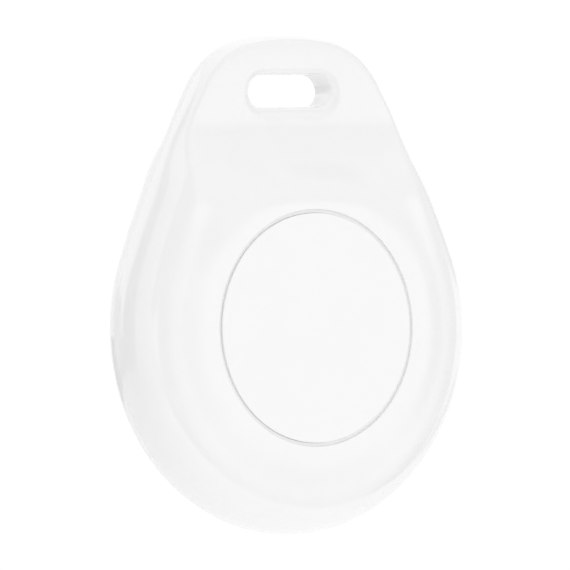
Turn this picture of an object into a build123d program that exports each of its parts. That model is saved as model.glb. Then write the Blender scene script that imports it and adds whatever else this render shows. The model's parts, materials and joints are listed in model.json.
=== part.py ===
from build123d import *
import math
import os

# Tracker tag: a teardrop case with a keyring slot, a push button in its front face, a coin cell
# under a quarter-turn cover in its back, and a round circuit board between them.
#
# Every piece is drawn lying flat: +X across, +Y towards the slot, +Z towards the front face,
# from the middle of the button on the plane where the two shells meet. stand_up() then turns
# it upright, with its origin at the middle of the keyring slot. Millimetres.

# Outline, as tangent arcs on the right-hand side: bottom, flank, shoulder and top
BOTTOM_RADIUS = 19.2
FLANK_RADIUS = 104.0
SHOULDER_RADIUS = 7.8
TOP_RADIUS = 27.0
FLANK_START = 21.0  # direction of the outline's normal where the flank begins, degrees
SHOULDER_START = 31.0  # and where the shoulder begins

# Thicknesses, measured from the plane where the shells meet
FRONT_DEPTH = 4.5
BACK_DEPTH = 4.3
TAB_DEPTH = 1.7  # each half of the tab around the slot
TAB_SKIM = 0.02  # taken off the tab above TAB_FLAT_START, which leaves it truly flat
TAB_FLAT_START = 19.8
TAB_FACE = TAB_DEPTH - TAB_SKIM
WALL = 1.3

# Outer surface
FRONT_FLAT_RADIUS = 11.2
BACK_FLAT_RADIUS = 13.6
CROWN_DROP = 0.6  # how far the face has fallen at CROWN_RADIUS
CROWN_RADIUS = 17.0
FRONT_SLOPE_START = 11.1  # the face runs down to the tab from this height
BACK_SLOPE_START = 13.9
SLOPE_END = 19.4
BODY_EDGE = 4.15  # width of the rounded edge round the body
TAB_EDGE = 1.1  # and round the tab
EDGE_START = 12.0  # the edge narrows between these two heights of the outline
EDGE_END = 21.4
EDGE_POWER = 2.4  # 2 is an ellipse, more is squarer
RIB_STEP = 7.5  # degrees between the sections of the outer surface
SPARE_RIBS = 2  # sections past each end, which are split off
RIB_REACH = 3.0  # how far the sections reach in past the flat's rim
FACE_SPANS = 9
EDGE_SPANS = 6
TINY_STEP = 0.001
SPARE = 1.0  # how far a cut reaches past the surface it opens

# Gaps between pieces that touch in the real tag
TOUCH_GAP = 0.02
MOULD_GAP = 0.05

# Keyring slot
SLOT_HEIGHT = 22.0  # above the middle of the button
SLOT_LENGTH = 9.3
SLOT_WIDTH = 3.0
SLOT_LIP = 0.8  # rounding at the front
COLLAR_WALL = 0.9
COLLAR_ROOT = 0.2  # how far the collar runs into the front half
COLLAR_LIP = 0.5  # rounding at the back

# Inside of the case
CAVITY_RADIUS = 16.9
CAVITY_CORNER = 2.4
RAMP_START = 12.0  # the cavity's ceiling slopes down between these two heights
RAMP_END = 16.4
RAMP_LOW = 0.9
SEAL_INSET = 0.9
SEAL_WIDTH = 0.8
SEAL_DEPTH = 0.6
SEAL_BOTTOM_GAP = 0.03

# Push button
BUTTON_RADIUS = 10.6
BUTTON_CLEARANCE = 0.06
BUTTON_CHAMFER = 0.1
GROOVE_WIDTH = 0.34  # the line round the button
GROOVE_DEPTH = 0.25
BUTTON_WALL = 1.2
FLANGE_RADIUS = 11.6
FLANGE_THICKNESS = 0.5
FLANGE_FRONT = FRONT_DEPTH - WALL - MOULD_GAP
FLANGE_BACK = FLANGE_FRONT - FLANGE_THICKNESS
SKIRT_INNER_RADIUS = 9.9
NIB_RADIUS = 1.0
NIB_GAP = 0.01
NIB_ROOT = 0.1

# Board
BOARD_RADIUS = 16.3
BOARD_TOP = 14.4
BOARD_FRONT = 1.75
BOARD_THICKNESS = 0.8
BOARD_BACK = BOARD_FRONT - BOARD_THICKNESS
BOARD_HOLE_GAP = 0.15

# Screws, one at each of these directions round the board
SCREW_DIRECTIONS = (35.0, 145.0, 270.0)
SCREW_CIRCLE = 14.9
SCREW_RADIUS = 0.75
SCREW_HEAD_RADIUS = 1.3
SCREW_HEAD_HEIGHT = 0.6
SCREW_TIP = 2.9
BOSS_RADIUS = 1.5
BOSS_ROOT = 0.2  # how far a boss runs into the wall in front of it
PILOT_GAP = 0.03
PILOT_SPARE = 0.1
SCREW_HEAD_ROUND = 0.25
CROSS_LENGTH = 1.4
CROSS_WIDTH = 0.3
CROSS_DEPTH = 0.35

# Coin cell, 20 mm across and 3.2 mm thick
CELL_RADIUS = 10.0
CELL_HEIGHT = 3.2
CELL_FRONT = 0.55
CELL_BACK = CELL_FRONT - CELL_HEIGHT
CELL_SHEET = 0.25
CELL_SHOULDER = 0.3  # how far the can's rim stands behind the cap
CELL_ROUND = 0.2
CAN_MOUTH_RADIUS = 9.2
CAP_RADIUS = 8.8
CAP_HEIGHT = 0.6
GASKET_OUTER = 9.15
GASKET_INNER = 8.85
GASKET_OVERLAP = 0.1
ANODE_RADIUS = 8.4
ANODE_THICKNESS = 0.6
SEPARATOR_RADIUS = 8.7
SEPARATOR_THICKNESS = 0.1
CATHODE_RADIUS = 8.6

# Battery cover
COVER_RADIUS = 12.05
COVER_THICKNESS = 1.4
COVER_GAP = 0.15
COVER_FRONT = COVER_THICKNESS - BACK_DEPTH
COVER_SKIRT_OUTER = 11.2
COVER_SKIRT_INNER = 10.5
COVER_SKIRT_FRONT = -1.4
COVER_SKIRT_ROOT = 0.1
COVER_CHAMFER = 0.2
COIN_SLOT_LENGTH = 13.0
COIN_SLOT_WIDTH = 1.8
COIN_SLOT_DEPTH = 0.8
BAY_RADIUS = COVER_RADIUS + COVER_GAP
BAY_WALL_RADIUS = 14.0
BAY_FRONT = -1.2
LEDGE_BACK = -1.9
LEDGE_RADIUS = 11.4
BAY_WALL_ROOT = 0.5
COVER_SEAL_RADIUS = 11.72
COVER_SEAL_CORD = 0.44
COVER_SEAL_MIDDLE = -2.4
LUG_COUNT = 3
LUG_REACH = 12.85
LUG_HEIGHT = 0.6
LUG_MIDDLE = -3.45
LUG_ANGLE = 12.0
LUG_CLEARANCE = 0.12
LUG_LEAD = 16.0  # rise in one whole turn
LUG_FIRST_DIRECTION = 90.0
LUG_ROOT = 0.4  # how far a lug runs into the cover
GROOVE_SPARE = 0.2  # past a lug's tip
GROOVE_ROOT = 0.3  # how far a groove starts inside the bay
GROOVE_STOP = 0.8  # degrees past the locked lug
GROOVE_RUN = 36.0  # degrees, from the locked lug out to the open back


# ---------------------------------------------------------------- outline


def heading(degrees_round):
    """Unit vector in the flat drawing, counted anticlockwise from +X."""
    angle = math.radians(degrees_round)
    return Vector(math.cos(angle), math.sin(angle))


def direction_of(point):
    return math.degrees(math.atan2(point.Y, point.X))


def outline_arcs():
    """The right-hand outline as (centre, radius, first normal, last normal), bottom to top."""
    bottom = Vector(0, 0)
    flank = bottom - heading(FLANK_START) * (FLANK_RADIUS - BOTTOM_RADIUS)
    shoulder = flank + heading(SHOULDER_START) * (FLANK_RADIUS - SHOULDER_RADIUS)
    spread = TOP_RADIUS - SHOULDER_RADIUS
    top = Vector(0, shoulder.Y - math.sqrt(spread**2 - shoulder.X**2))
    top_start = direction_of(shoulder - top)
    return [
        (bottom, BOTTOM_RADIUS, -90.0, FLANK_START),
        (flank, FLANK_RADIUS, FLANK_START, SHOULDER_START),
        (shoulder, SHOULDER_RADIUS, SHOULDER_START, top_start),
        (top, TOP_RADIUS, top_start, 90.0),
    ]


OUTLINE = outline_arcs()
TOP_HEIGHT = OUTLINE[-1][0].Y + TOP_RADIUS


def outline_radius(degrees_round):
    """Distance from the button's middle to the outline in one direction."""
    right_hand = degrees_round if degrees_round <= 90 else 180 - degrees_round
    right_hand = right_hand if right_hand >= -90 else -180 - right_hand
    ray = heading(right_hand)
    for centre, radius, _, last_normal in OUTLINE:
        if right_hand <= direction_of(centre + heading(last_normal) * radius) + 1e-6:
            across = ray.X * centre.Y - ray.Y * centre.X
            return ray.dot(centre) + math.sqrt(radius**2 - across**2)


def outline_face(inset):
    """The outline as a face, moved inwards by inset."""
    right = [
        CenterArc(centre, radius - inset, first, last - first)
        for centre, radius, first, last in OUTLINE
    ]
    left = [edge.mirror(Plane.YZ) for edge in right]
    return make_face(right + left)


def outline_ring(inset, width, low, high):
    """A band that follows the outline, between two heights."""
    band = outline_face(inset) - outline_face(inset + width)
    return Pos(0, 0, low) * extrude(band, amount=high - low)


# ---------------------------------------------------------------- outer surface


def blend(value):
    """Smooth step from 0 to 1 with no bend at either end."""
    share = min(max(value, 0.0), 1.0)
    return share**3 * (share * (6 * share - 15) + 10)


class Side:
    """One face of the tag: how deep it is, how far its flat reaches, and where it slopes."""

    def __init__(self, depth, flat_radius, slope_start):
        self.depth = depth
        self.flat_radius = flat_radius
        self.slope_start = slope_start

    def height(self, distance, rise):
        """Depth before the edge is rounded: flat, then crowned, then down to the tab."""
        crown = CROWN_DROP * blend((distance - self.flat_radius) / (CROWN_RADIUS - self.flat_radius))
        body_share = blend((SLOPE_END - distance * rise) / (SLOPE_END - self.slope_start))
        return TAB_DEPTH + (self.depth - crown - TAB_DEPTH) * body_share


FRONT = Side(FRONT_DEPTH, FRONT_FLAT_RADIUS, FRONT_SLOPE_START)
BACK = Side(BACK_DEPTH, BACK_FLAT_RADIUS, BACK_SLOPE_START)


def edge_width(height):
    """Width of the rounded edge at one height of the outline."""
    body_share = blend((EDGE_END - height) / (EDGE_END - EDGE_START))
    return TAB_EDGE + (BODY_EDGE - TAB_EDGE) * body_share


def smooth_edge(points, first_direction, last_direction):
    """A spline through evenly counted points, so that neighbouring sections match."""
    knots = [k / (len(points) - 1) for k in range(len(points))]
    return Edge.make_spline(points, [first_direction, last_direction], parameters=knots)


def rib(degrees_round, side, start_radius):
    """One closed section of a shell half, in the upright plane through the axis."""
    reach = outline_radius(degrees_round)
    rise = math.sin(math.radians(degrees_round))
    width = edge_width(reach * rise)
    shoulder = reach - width
    face_points = []
    for k in range(FACE_SPANS + 1):
        distance = side.flat_radius + (shoulder - side.flat_radius) * k / FACE_SPANS
        face_points.append(Vector(distance, 0, side.height(distance, rise)))
    edge_points = []
    for k in range(EDGE_SPANS + 1):
        turn = math.pi / 2 * k / EDGE_SPANS
        distance = shoulder + width * math.sin(turn) ** (2 / EDGE_POWER)
        edge_points.append(Vector(distance, 0, side.height(distance, rise) * math.cos(turn)))
    ahead = shoulder + TINY_STEP
    fall = side.height(ahead, rise) - side.height(shoulder, rise)
    joint_direction = Vector(TINY_STEP, 0, fall).normalized()
    foot = Vector(start_radius, 0, 0)
    inner_top = Vector(start_radius, 0, side.depth)
    outline = [
        Edge.make_line(foot, inner_top),
        Edge.make_line(inner_top, face_points[0]),
        smooth_edge(face_points, Vector(1, 0, 0), joint_direction),
        smooth_edge(edge_points, joint_direction, Vector(0, 0, -1)),
        Edge.make_line(edge_points[-1], foot),
    ]
    return Rot(0, 0, degrees_round) * Wire(outline)


def shell_blank(side):
    """A whole shell half with no inside, open round the axis."""
    start_radius = side.flat_radius - RIB_REACH
    count = round(180 / RIB_STEP) + 2 * SPARE_RIBS
    ribs = [rib(-90 + RIB_STEP * (k - SPARE_RIBS), side, start_radius) for k in range(count + 1)]
    half = split(Solid.make_loft(ribs), bisect_by=Plane.YZ, keep=Keep.TOP)
    blank = half + half.mirror(Plane.YZ)
    flat_length = TOP_HEIGHT - TAB_FLAT_START + SPARE
    flat_middle = TAB_FLAT_START + flat_length / 2
    return blank - slab(2 * BOTTOM_RADIUS, flat_length, TAB_FACE, side.depth, y=flat_middle)


# ---------------------------------------------------------------- helpers


def disc(radius, low, high):
    return Pos(0, 0, low) * extrude(Circle(radius), amount=high - low)


def ring(outer, inner, low, high):
    return disc(outer, low, high) - disc(inner, low, high)


def slab(width, length, low, high, x=0.0, y=0.0, corner=0.0):
    """A flat block between two heights, with rounded upright corners if corner is set."""
    shape = RectangleRounded(width, length, corner) if corner else Rectangle(width, length)
    return Pos(x, y, low) * extrude(shape, amount=high - low)


def pill(margin, low, high):
    """The keyring slot's shape, grown by margin all round."""
    shape = SlotOverall(SLOT_LENGTH + 2 * margin, SLOT_WIDTH + 2 * margin)
    return Pos(0, SLOT_HEIGHT, low) * extrude(shape, amount=high - low)


def screw_places():
    return [heading(direction) * SCREW_CIRCLE for direction in SCREW_DIRECTIONS]


def at_screws(shape):
    """The shape once at each screw."""
    return [Pos(place.X, place.Y, 0) * shape for place in screw_places()]


def cavity(depth):
    """The room inside one shell half, as deep as its wall allows, with a ramp under the tab."""
    ceiling = depth - WALL
    low_corner = ceiling - CAVITY_CORNER / 2
    profile = Polyline(
        (0, 0, 0),
        (CAVITY_RADIUS, 0, 0),
        (CAVITY_RADIUS, 0, low_corner),
        (CAVITY_RADIUS - CAVITY_CORNER, 0, ceiling),
        (0, 0, ceiling),
        close=True,
    )
    room = revolve(make_face(profile), Axis.Z)
    ramp_profile = Polyline(
        (0, RAMP_END, 0),
        (0, RAMP_END, RAMP_LOW),
        (0, RAMP_START, ceiling),
        (0, RAMP_START, depth),
        (0, TOP_HEIGHT, depth),
        (0, TOP_HEIGHT, 0),
        close=True,
    )
    ramp = extrude(make_face(ramp_profile), amount=CAVITY_RADIUS, dir=(1, 0, 0), both=True)
    return room - ramp


def slot_flare(lip, face):
    """What a rounded lip takes off the edge of the slot, with the face at height face."""
    room = 6 * lip
    block = slab(SLOT_LENGTH + room, SLOT_WIDTH + room, face - 2 * lip, face, y=SLOT_HEIGHT)
    pierced = block - pill(0, face - 2 * lip, face)
    rim = pierced.faces().sort_by(Axis.Z)[-1].inner_wires()[0].edges()
    return block - fillet(rim, lip)


def turned(shape):
    """Moves a shape drawn facing the front so that it faces the back."""
    return shape.mirror(Plane.XY)


def helical_band(inner, outer, height, first_angle, last_angle, middle):
    """A band that climbs with the cover's lead, at height middle in direction zero."""
    radius = (inner + outer) / 2
    rise = LUG_LEAD / 360
    climb = (last_angle - first_angle) * rise
    path = Rot(0, 0, first_angle) * Helix(LUG_LEAD, climb, radius)
    start = path.position_at(0)
    tangent = path.tangent_at(0)
    outward = Vector(start.X, start.Y, 0)
    section = Plane(origin=start, x_dir=outward, z_dir=tangent) * Rectangle(outer - inner, height)
    band = sweep(section, path=path, is_frenet=True)
    return Pos(0, 0, middle + first_angle * rise) * band


def round_the_axis(shape):
    """The shape once at each lug's place."""
    return [
        Rot(0, 0, LUG_FIRST_DIRECTION + 360 / LUG_COUNT * k) * shape for k in range(LUG_COUNT)
    ]


# ---------------------------------------------------------------- casing


def make_front_shell():
    shell = shell_blank(FRONT)
    shell -= cavity(FRONT_DEPTH)
    shell -= disc(BUTTON_RADIUS + BUTTON_CLEARANCE, 0, FRONT_DEPTH + SPARE)
    shell -= disc(BUTTON_RADIUS + GROOVE_WIDTH, FRONT_DEPTH - GROOVE_DEPTH, FRONT_DEPTH + SPARE)
    shell += at_screws(disc(BOSS_RADIUS, BOARD_FRONT, FRONT_DEPTH - WALL + BOSS_ROOT))
    shell -= at_screws(disc(SCREW_RADIUS + PILOT_GAP, BOARD_FRONT, SCREW_TIP + PILOT_SPARE))
    shell += pill(COLLAR_WALL, -TAB_FACE, COLLAR_ROOT)
    shell -= pill(0, -TAB_FACE, TAB_DEPTH)
    shell -= slot_flare(SLOT_LIP, TAB_FACE)
    return shell - turned(slot_flare(COLLAR_LIP, TAB_FACE))


def make_rear_shell():
    shell = shell_blank(BACK)
    shell -= cavity(BACK_DEPTH)
    shell += ring(BAY_WALL_RADIUS, LEDGE_RADIUS, -BAY_FRONT, BACK_DEPTH - BAY_WALL_ROOT)
    shell -= disc(BAY_RADIUS, -LEDGE_BACK, BACK_DEPTH + SPARE)
    shell -= disc(LEDGE_RADIUS, 0, BACK_DEPTH)
    shell -= pill(COLLAR_WALL + MOULD_GAP, 0, BACK_DEPTH)
    shell -= outline_ring(SEAL_INSET, SEAL_WIDTH, 0, SEAL_DEPTH)
    groove = helical_band(
        COVER_RADIUS - GROOVE_ROOT,
        LUG_REACH + GROOVE_SPARE,
        LUG_HEIGHT + 2 * LUG_CLEARANCE,
        -LUG_ANGLE / 2 - GROOVE_RUN,
        LUG_ANGLE / 2 + GROOVE_STOP,
        LUG_MIDDLE,
    )
    return turned(shell) - round_the_axis(groove)


def make_case_seal():
    return outline_ring(
        SEAL_INSET + MOULD_GAP, SEAL_WIDTH - 2 * MOULD_GAP, SEAL_BOTTOM_GAP - SEAL_DEPTH, 0
    )


# ---------------------------------------------------------------- button


def make_button_cap():
    cap = disc(BUTTON_RADIUS, FLANGE_BACK, FRONT_DEPTH)
    cap = chamfer(cap.edges().group_by(Axis.Z)[-1], BUTTON_CHAMFER)
    cap += disc(FLANGE_RADIUS, FLANGE_BACK, FLANGE_FRONT)
    cap -= disc(SKIRT_INNER_RADIUS, FLANGE_BACK, FRONT_DEPTH - BUTTON_WALL)
    return cap + disc(NIB_RADIUS, SWITCH_TOP + NIB_GAP, FRONT_DEPTH - BUTTON_WALL + NIB_ROOT)


SEAL_FOOT_INNER = 11.5
SEAL_FOOT_OUTER = 12.6
SEAL_FOOT_HEIGHT = 0.3
SEAL_WEB_RADIUS = 11.9
SEAL_WEB = 0.35  # height at which the web leaves the foot
SEAL_BEAD_INNER = 10.4
SEAL_BEAD_OUTER = 11.2
SEAL_BEAD_HEIGHT = 0.3
SEAL_BEAD_BACK_RADIUS = 11.0
SEAL_BEAD_BACK = 0.4


def make_button_seal():
    """A silicone ring: a foot on the board, a thin sloping web and a bead under the flange."""
    foot = BOARD_FRONT + TOUCH_GAP
    bead = FLANGE_BACK - TOUCH_GAP
    profile = Polyline(
        (SEAL_FOOT_INNER, 0, foot),
        (SEAL_FOOT_OUTER, 0, foot),
        (SEAL_FOOT_OUTER, 0, BOARD_FRONT + SEAL_FOOT_HEIGHT),
        (SEAL_WEB_RADIUS, 0, BOARD_FRONT + SEAL_WEB),
        (SEAL_BEAD_OUTER, 0, bead),
        (SEAL_BEAD_INNER, 0, bead),
        (SEAL_BEAD_INNER, 0, bead - SEAL_BEAD_HEIGHT),
        (SEAL_BEAD_BACK_RADIUS, 0, bead - SEAL_BEAD_BACK),
        close=True,
    )
    return revolve(make_face(profile), Axis.Z)


# ---------------------------------------------------------------- tactile switch

SWITCH_SIDE = 4.0
SWITCH_CORNER = 0.3
SWITCH_POCKET_RADIUS = 1.5
SWITCH_POCKET_FLOOR = 0.06
SWITCH_BASE_TOP = BOARD_FRONT + 0.35
SWITCH_TOP = BOARD_FRONT + 0.7
SWITCH_FRAME_SHEET = 0.1
SWITCH_FRAME_TOP = SWITCH_BASE_TOP + SWITCH_FRAME_SHEET
SWITCH_LEG_WIDTH = 1.6
PLUNGER_RADIUS = 0.8
PLUNGER_LENGTH = 0.34
PLUNGER_GAP = 0.08
DOME_RADIUS = 1.4
DOME_RISE = 0.2
DOME_SHEET = 0.05
DOME_BACK = BOARD_FRONT + SWITCH_POCKET_FLOOR + TOUCH_GAP


def make_switch_base():
    base = slab(SWITCH_SIDE, SWITCH_SIDE, BOARD_FRONT, SWITCH_BASE_TOP, corner=SWITCH_CORNER)
    return base - disc(SWITCH_POCKET_RADIUS, BOARD_FRONT + SWITCH_POCKET_FLOOR, SWITCH_BASE_TOP)


def make_switch_frame():
    """A sheet lid with a hole for the plunger and a leg down each side."""
    frame = slab(SWITCH_SIDE, SWITCH_SIDE, SWITCH_BASE_TOP, SWITCH_FRAME_TOP, corner=SWITCH_CORNER)
    frame -= disc(PLUNGER_RADIUS + PLUNGER_GAP, SWITCH_BASE_TOP, SWITCH_TOP)
    leg_place = (SWITCH_SIDE + SWITCH_FRAME_SHEET) / 2
    leg_foot = BOARD_FRONT + TOUCH_GAP
    for x in (-leg_place, leg_place):
        frame += slab(SWITCH_FRAME_SHEET, SWITCH_LEG_WIDTH, leg_foot, SWITCH_FRAME_TOP, x=x)
    return frame


def make_switch_dome():
    """A snap dome: a shallow spherical cap of thin spring steel."""
    radius = (DOME_RADIUS**2 + DOME_RISE**2) / (2 * DOME_RISE)
    middle = Pos(0, 0, DOME_RISE - radius)
    sheet = middle * Sphere(radius) - middle * Sphere(radius - DOME_SHEET)
    return Pos(0, 0, DOME_BACK) * (sheet & disc(DOME_RADIUS, 0, DOME_RISE))


def make_switch_plunger():
    return disc(PLUNGER_RADIUS, SWITCH_TOP - PLUNGER_LENGTH, SWITCH_TOP)


# ---------------------------------------------------------------- board and its components


# Places on the board are (across, along) from the middle of the button
CHIP_SIDE = 5.0
CHIP_HEIGHT = 0.85
CHIP_PLACE = (-5.3, 2.6)
CHIP_MARK_RADIUS = 0.25
CHIP_MARK_INSET = 0.7
CHIP_MARK_DEPTH = 0.05
MAIN_CRYSTAL = (2.5, 2.0, 0.6)  # width, length, height
MAIN_CRYSTAL_PLACE = (-3.4, -4.6)
CLOCK_CRYSTAL = (3.2, 1.5, 0.8)
CLOCK_CRYSTAL_PLACE = (5.6, 4.6)
CRYSTAL_BASE_SHARE = 0.45
CRYSTAL_LID_INSET = 0.1
CRYSTAL_LID_CORNER = 0.2
ANTENNA = (5.0, 1.6, 0.8)
ANTENNA_PLACE = (0.0, 12.9)
SMALL_PART = (1.0, 0.5)  # width, length
CAPACITOR_HEIGHT = 0.5
RESISTOR_HEIGHT = 0.35
SMALL_PART_PITCH = 1.6
CHIP_SIDE_ROW = (-9.0, 4.2)
CHIP_SIDE_PITCH = 1.3
CHIP_SIDE_COUNT = 3
CHIP_FOOT_ROW = (-7.6, -1.4)
CHIP_FOOT_COUNT = 3
INDUCTOR_CAPACITORS = [(6.8, -6.0), (4.0, -6.6)]
RESISTOR_ROW = (2.6, 7.4)
RESISTOR_COUNT = 4
INDUCTOR = (2.5, 2.0, 1.0)
INDUCTOR_PLACE = (5.4, -3.4)
INDUCTOR_CHAMFER = 0.15


def make_pcb():
    """A round board, cut straight towards the slot, with a hole for each screw."""
    board = disc(BOARD_RADIUS, BOARD_BACK, BOARD_FRONT)
    cut_length = BOARD_RADIUS - BOARD_TOP + SPARE
    cut_middle = BOARD_TOP + cut_length / 2
    board -= slab(2 * BOARD_RADIUS, cut_length, BOARD_BACK, BOARD_FRONT, y=cut_middle)
    return board - at_screws(disc(SCREW_RADIUS + BOARD_HOLE_GAP, BOARD_BACK, BOARD_FRONT))


def make_bluetooth_chip():
    """A square package with a small round mark in one corner."""
    x, y = CHIP_PLACE
    chip = slab(CHIP_SIDE, CHIP_SIDE, BOARD_FRONT, BOARD_FRONT + CHIP_HEIGHT, x, y)
    reach = CHIP_SIDE / 2 - CHIP_MARK_INSET
    mark = disc(CHIP_MARK_RADIUS, BOARD_FRONT + CHIP_HEIGHT - CHIP_MARK_DEPTH, FRONT_DEPTH)
    return chip - Pos(x - reach, y + reach, 0) * mark


def make_crystal(size, place):
    """A ceramic base with a drawn metal lid on it."""
    width, length, height = size
    split_height = BOARD_FRONT + height * CRYSTAL_BASE_SHARE
    inset = 2 * CRYSTAL_LID_INSET
    base = slab(width, length, BOARD_FRONT, split_height, *place)
    lid = slab(
        width - inset, length - inset, split_height, BOARD_FRONT + height, *place, CRYSTAL_LID_CORNER
    )
    return base + lid


def make_antenna():
    """A ceramic chip antenna on the back of the board, clear of the cell."""
    width, length, height = ANTENNA
    return slab(width, length, BOARD_BACK - height, BOARD_BACK, *ANTENNA_PLACE)


def row_across(start, count):
    return [(start[0] + SMALL_PART_PITCH * k, start[1]) for k in range(count)]


def small_parts(height, places):
    """Small two-ended components, one at each place."""
    return [slab(*SMALL_PART, BOARD_FRONT, BOARD_FRONT + height, x, y) for x, y in places]


def make_capacitors():
    x, y = CHIP_SIDE_ROW
    beside_chip = [(x, y - CHIP_SIDE_PITCH * k) for k in range(CHIP_SIDE_COUNT)]
    places = beside_chip + row_across(CHIP_FOOT_ROW, CHIP_FOOT_COUNT) + INDUCTOR_CAPACITORS
    return Compound(small_parts(CAPACITOR_HEIGHT, places))


def make_resistors():
    return Compound(small_parts(RESISTOR_HEIGHT, row_across(RESISTOR_ROW, RESISTOR_COUNT)))


def make_inductor():
    width, length, height = INDUCTOR
    body = slab(width, length, BOARD_FRONT, BOARD_FRONT + height, *INDUCTOR_PLACE)
    return chamfer(body.edges().group_by(Axis.Z)[-1], INDUCTOR_CHAMFER)


# ---------------------------------------------------------------- buzzer

BUZZER_SIDE = 4.0
BUZZER_CORNER = 0.3
BUZZER_HEIGHT = 2.0
BUZZER_X = 13.7
BUZZER_BACK = BOARD_BACK - BUZZER_HEIGHT
BUZZER_ROOM_RADIUS = 1.7
BUZZER_WALL = 0.25
BUZZER_LID = 0.2
SOUND_HOLE_RADIUS = 0.3
SOUND_HOLE_OFFSET = 1.0
DIAPHRAGM_RADIUS = 1.65
DIAPHRAGM_BACK = BUZZER_BACK + 0.5
DIAPHRAGM_SHEET = 0.08
COIL_OUTER = 1.2
COIL_INNER = 0.5
COIL_BACK = BUZZER_BACK + 0.8


def at_buzzer(shape, offset_across=0.0):
    return Pos(BUZZER_X + offset_across, 0, 0) * shape


def make_buzzer_case():
    case = slab(BUZZER_SIDE, BUZZER_SIDE, BUZZER_BACK, BOARD_BACK, corner=BUZZER_CORNER)
    case -= disc(BUZZER_ROOM_RADIUS, BUZZER_BACK + BUZZER_WALL, BOARD_BACK - BUZZER_LID)
    sound_hole = disc(SOUND_HOLE_RADIUS, BUZZER_BACK, BUZZER_BACK + BUZZER_WALL)
    return at_buzzer(case) - at_buzzer(sound_hole, SOUND_HOLE_OFFSET)


def make_buzzer_diaphragm():
    return at_buzzer(disc(DIAPHRAGM_RADIUS, DIAPHRAGM_BACK, DIAPHRAGM_BACK + DIAPHRAGM_SHEET))


def make_buzzer_coil():
    front = BOARD_BACK - BUZZER_LID - TOUCH_GAP
    return at_buzzer(ring(COIL_OUTER, COIL_INNER, COIL_BACK, front))


# ---------------------------------------------------------------- coin cell

CAN_FRONT = CELL_FRONT - CELL_SHOULDER
ANODE_FRONT = CELL_FRONT - CELL_SHEET - MOULD_GAP
ANODE_BACK = ANODE_FRONT - ANODE_THICKNESS
SEPARATOR_FRONT = ANODE_BACK - MOULD_GAP
SEPARATOR_BACK = SEPARATOR_FRONT - SEPARATOR_THICKNESS


def make_cell_can():
    """The round can, with its rim turned in over the gasket."""
    can = fillet(disc(CELL_RADIUS, CELL_BACK, CAN_FRONT).edges(), CELL_ROUND)
    can -= disc(CELL_RADIUS - CELL_SHEET, CELL_BACK + CELL_SHEET, CAN_FRONT - CELL_ROUND)
    return can - disc(CAN_MOUTH_RADIUS, CELL_BACK + CELL_SHEET, CELL_FRONT)


def make_cell_cap():
    cap = disc(CAP_RADIUS, CELL_FRONT - CAP_HEIGHT, CELL_FRONT)
    cap = fillet(cap.edges().group_by(Axis.Z)[-1], CELL_ROUND)
    return cap - disc(CAP_RADIUS - CELL_SHEET, CELL_FRONT - CAP_HEIGHT, CELL_FRONT - CELL_SHEET)


def make_cell_gasket():
    back = CELL_FRONT - CAP_HEIGHT - GASKET_OVERLAP
    return ring(GASKET_OUTER, GASKET_INNER, back, CAN_FRONT + MOULD_GAP)


def make_cell_anode():
    return disc(ANODE_RADIUS, ANODE_BACK, ANODE_FRONT)


def make_cell_separator():
    return disc(SEPARATOR_RADIUS, SEPARATOR_BACK, SEPARATOR_FRONT)


def make_cell_cathode():
    return disc(CATHODE_RADIUS, CELL_BACK + CELL_SHEET + MOULD_GAP, SEPARATOR_BACK - MOULD_GAP)


# ---------------------------------------------------------------- holder, contacts and screws

HOLDER_OUTER = 11.2
HOLDER_INNER = 10.35
HOLDER_BACK = -1.1
EAR_THICKNESS = 0.8
EAR_BACK = BOARD_BACK - EAR_THICKNESS
EAR_RADIUS = 1.6
EAR_HOLE_GAP = 0.1
WEB_LENGTH = 5.0
WEB_WIDTH = 3.0
WEB_MIDDLE = 12.4
CONTACT_DIRECTION = 205.0
CONTACT_GAP_LENGTH = 4.0
CONTACT_GAP_MIDDLE = 10.8
CONTACT_SIDE_GAP = 0.3
POSITIVE_WIDTH = 3.0
POSITIVE_SHEET = 0.15
POSITIVE_FOOT = BOARD_BACK - POSITIVE_SHEET / 2
POSITIVE_BENDS = [(12.9, POSITIVE_FOOT), (10.75, POSITIVE_FOOT), (10.35, 0.4), (10.1, -0.3), (10.4, -1.0)]
NEGATIVE_WIDTH = 2.5
NEGATIVE_SHEET = 0.1
NEGATIVE_FOOT = BOARD_BACK - NEGATIVE_SHEET / 2
NEGATIVE_TOUCH = CELL_FRONT + NEGATIVE_SHEET / 2 + 0.01
NEGATIVE_TIP = CELL_FRONT + 0.2
NEGATIVE_BENDS = [
    (-4.0, NEGATIVE_FOOT),
    (-1.6, NEGATIVE_FOOT),
    (1.2, NEGATIVE_TOUCH),
    (2.0, NEGATIVE_TOUCH),
    (2.8, NEGATIVE_TIP),
]


def make_battery_holder():
    """A ring round the cell, with an ear for each screw and a gap for the side contact."""
    holder = disc(HOLDER_OUTER, HOLDER_BACK, BOARD_BACK)
    web = slab(WEB_LENGTH, WEB_WIDTH, EAR_BACK, BOARD_BACK, x=WEB_MIDDLE)
    holder += [Rot(0, 0, direction) * web for direction in SCREW_DIRECTIONS]
    holder += at_screws(disc(EAR_RADIUS, EAR_BACK, BOARD_BACK))
    holder -= disc(HOLDER_INNER, HOLDER_BACK, BOARD_BACK)
    holder -= at_screws(disc(SCREW_RADIUS + EAR_HOLE_GAP, EAR_BACK, BOARD_BACK))
    gap_width = POSITIVE_WIDTH + 2 * CONTACT_SIDE_GAP
    gap = slab(CONTACT_GAP_LENGTH, gap_width, HOLDER_BACK, BOARD_BACK, x=CONTACT_GAP_MIDDLE)
    return holder - Rot(0, 0, CONTACT_DIRECTION) * gap


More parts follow.
